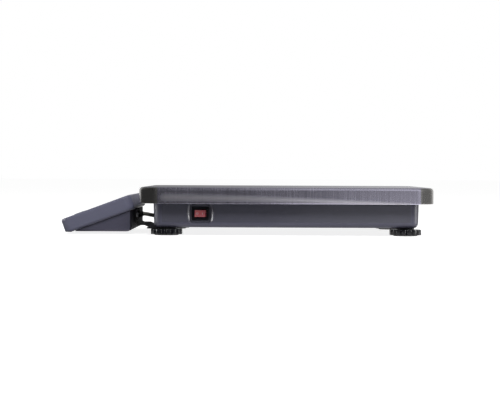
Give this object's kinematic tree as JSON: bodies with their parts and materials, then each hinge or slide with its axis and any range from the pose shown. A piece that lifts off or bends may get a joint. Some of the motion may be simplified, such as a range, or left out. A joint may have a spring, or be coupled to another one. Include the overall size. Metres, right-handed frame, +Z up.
{
  "type": "packing scale",
  "caption": "Low packing scale: flat stainless pan over a plastic base on screw feet, a power switch in one side and a tilted display on a steel bracket at one end.",
  "frame": {"origin": "on the floor plane under the middle of the whole scale, display included", "axes": "+X from the display's low front end towards the back of the base, +Z up, -Y the side with the power switch"},
  "size_m": [0.4328, 0.3, 0.0559],
  "materials": {
    "brushed_stainless": "brushed stainless sheet, folded and polished at the rims",
    "blue_grey_plastic": "fine textured moulding, dark blue grey",
    "light_blue_grey_plastic": "fine textured moulding, lighter blue grey",
    "aluminium": "machined",
    "cast_alloy": "as cast",
    "black_painted_steel": "black powder coat",
    "zinc_steel": "zinc plated",
    "black_plastic": "black moulding",
    "black_rubber": "soft black rubber",
    "red_plastic": "translucent red moulding",
    "cable_sheath": "soft sheath, dark olive grey",
    "circuit_board": "green solder mask",
    "level_vial": "clear capsule with green liquid",
    "clear_window": "clear",
    "lcd_panel": "reflective liquid crystal panel",
    "keypad_sheet": "printed polyester sheet",
    "key_plastic": "light grey moulding"
  },
  "bodies": {
    "base": {"base_tub": "blue_grey_plastic", "base_cover": "blue_grey_plastic", "battery_door": "blue_grey_plastic", "display_rear_housing": "blue_grey_plastic", "display_front_housing": "light_blue_grey_plastic", "load_cell": "aluminium", "spider": "cast_alloy", "display_bracket": "black_painted_steel", "lower_spacer": "zinc_steel", "upper_spacer": "zinc_steel", "cell_lower_screw_1": "zinc_steel", "cell_lower_screw_2": "zinc_steel", "cell_upper_screw_1": "zinc_steel", "cell_upper_screw_2": "zinc_steel", "battery_door_screw": "zinc_steel", "bracket_base_screw_left": "zinc_steel", "bracket_base_screw_right": "zinc_steel", "bracket_display_screw_left": "zinc_steel", "bracket_display_screw_right": "zinc_steel", "foot_washer_rear_left": "zinc_steel", "foot_washer_rear_right": "zinc_steel", "cover_screw_front_left": "zinc_steel", "cover_screw_front_right": "zinc_steel", "cover_screw_rear_left": "zinc_steel", "cover_screw_rear_right": "zinc_steel", "display_screw_front_left": "zinc_steel", "display_screw_front_right": "zinc_steel", "display_screw_rear_left": "zinc_steel", "display_screw_rear_right": "zinc_steel", "switch_body": "black_plastic", "power_inlet": "black_plastic", "battery": "black_plastic", "cable_boot": "black_rubber", "cable_gland": "black_rubber", "pan_buffer_front_left": "black_rubber", "pan_buffer_front_right": "black_rubber", "pan_buffer_rear_left": "black_rubber", "pan_buffer_rear_right": "black_rubber", "display_cable": "cable_sheath", "base_board": "circuit_board", "display_board": "circuit_board", "level_vial": "level_vial", "display_window": "clear_window", "lcd_panel": "lcd_panel", "keypad_overlay": "keypad_sheet"},
    "pan": {"pan": "brushed_stainless"},
    "rocker": {"switch_rocker": "red_plastic"},
    "foot_pad_front_left": {"foot_pad_front_left": "black_rubber"},
    "foot_knob_front_left": {"foot_front_left": "black_plastic"},
    "foot_pad_front_right": {"foot_pad_front_right": "black_rubber"},
    "foot_knob_front_right": {"foot_front_right": "black_plastic"},
    "foot_pad_rear_left": {"foot_pad_rear_left": "black_rubber"},
    "foot_knob_rear_left": {"foot_rear_left": "black_plastic"},
    "foot_pad_rear_right": {"foot_pad_rear_right": "black_rubber"},
    "foot_knob_rear_right": {"foot_rear_right": "black_plastic"},
    "key_1": {"key_1": "key_plastic"},
    "key_2": {"key_2": "key_plastic"},
    "key_3": {"key_3": "key_plastic"},
    "key_4": {"key_4": "key_plastic"},
    "key_5": {"key_5": "key_plastic"}
  },
  "joints": [
    {"name": "pan_lift", "type": "slide", "parent": "base", "child": "pan", "axis": [0, 0, 1], "range_m": [0, 0.06]},
    {"name": "power_rocker", "type": "hinge", "parent": "base", "child": "rocker", "pos_m": [-0.05275, -0.1278, 0.02535], "axis": [0, 0, 1], "range_deg": [0, 20]},
    {"name": "foot_height_front_left", "type": "slide", "parent": "base", "child": "foot_pad_front_left", "axis": [0, 0, -1], "range_m": [0, 0.0075]},
    {"name": "foot_turn_front_left", "type": "hinge", "parent": "foot_pad_front_left", "child": "foot_knob_front_left", "pos_m": [-0.09235, -0.118, 0.004], "axis": [0, 0, -1], "range_deg": [0, 2160]},
    {"name": "foot_height_front_right", "type": "slide", "parent": "base", "child": "foot_pad_front_right", "axis": [0, 0, -1], "range_m": [0, 0.0075]},
    {"name": "foot_turn_front_right", "type": "hinge", "parent": "foot_pad_front_right", "child": "foot_knob_front_right", "pos_m": [-0.09235, 0.118, 0.004], "axis": [0, 0, -1], "range_deg": [0, 2160]},
    {"name": "foot_height_rear_left", "type": "slide", "parent": "base", "child": "foot_pad_rear_left", "axis": [0, 0, -1], "range_m": [0, 0.0075]},
    {"name": "foot_turn_rear_left", "type": "hinge", "parent": "foot_pad_rear_left", "child": "foot_knob_rear_left", "pos_m": [0.18515, -0.118, 0.004], "axis": [0, 0, -1], "range_deg": [0, 2160]},
    {"name": "foot_height_rear_right", "type": "slide", "parent": "base", "child": "foot_pad_rear_right", "axis": [0, 0, -1], "range_m": [0, 0.0075]},
    {"name": "foot_turn_rear_right", "type": "hinge", "parent": "foot_pad_rear_right", "child": "foot_knob_rear_right", "pos_m": [0.18515, 0.118, 0.004], "axis": [0, 0, -1], "range_deg": [0, 2160]},
    {"name": "key_1_press", "type": "slide", "parent": "base", "child": "key_1", "axis": [0.3469, 0, -0.9379], "range_m": [0, 0.0008], "stiffness_N_per_m": 600},
    {"name": "key_2_press", "type": "slide", "parent": "base", "child": "key_2", "axis": [0.3469, 0, -0.9379], "range_m": [0, 0.0008], "stiffness_N_per_m": 600},
    {"name": "key_3_press", "type": "slide", "parent": "base", "child": "key_3", "axis": [0.3469, 0, -0.9379], "range_m": [0, 0.0008], "stiffness_N_per_m": 600},
    {"name": "key_4_press", "type": "slide", "parent": "base", "child": "key_4", "axis": [0.3469, 0, -0.9379], "range_m": [0, 0.0008], "stiffness_N_per_m": 600},
    {"name": "key_5_press", "type": "slide", "parent": "base", "child": "key_5", "axis": [0.3469, 0, -0.9379], "range_m": [0, 0.0008], "stiffness_N_per_m": 600}
  ],
  "couplings": [
    {"joint": "foot_height_front_left", "follows": "foot_turn_front_left", "m_per_rad": 0.0001989},
    {"joint": "foot_height_front_right", "follows": "foot_turn_front_right", "m_per_rad": 0.0001989},
    {"joint": "foot_height_rear_left", "follows": "foot_turn_rear_left", "m_per_rad": 0.0001989},
    {"joint": "foot_height_rear_right", "follows": "foot_turn_rear_right", "m_per_rad": 0.0001989}
  ]
}
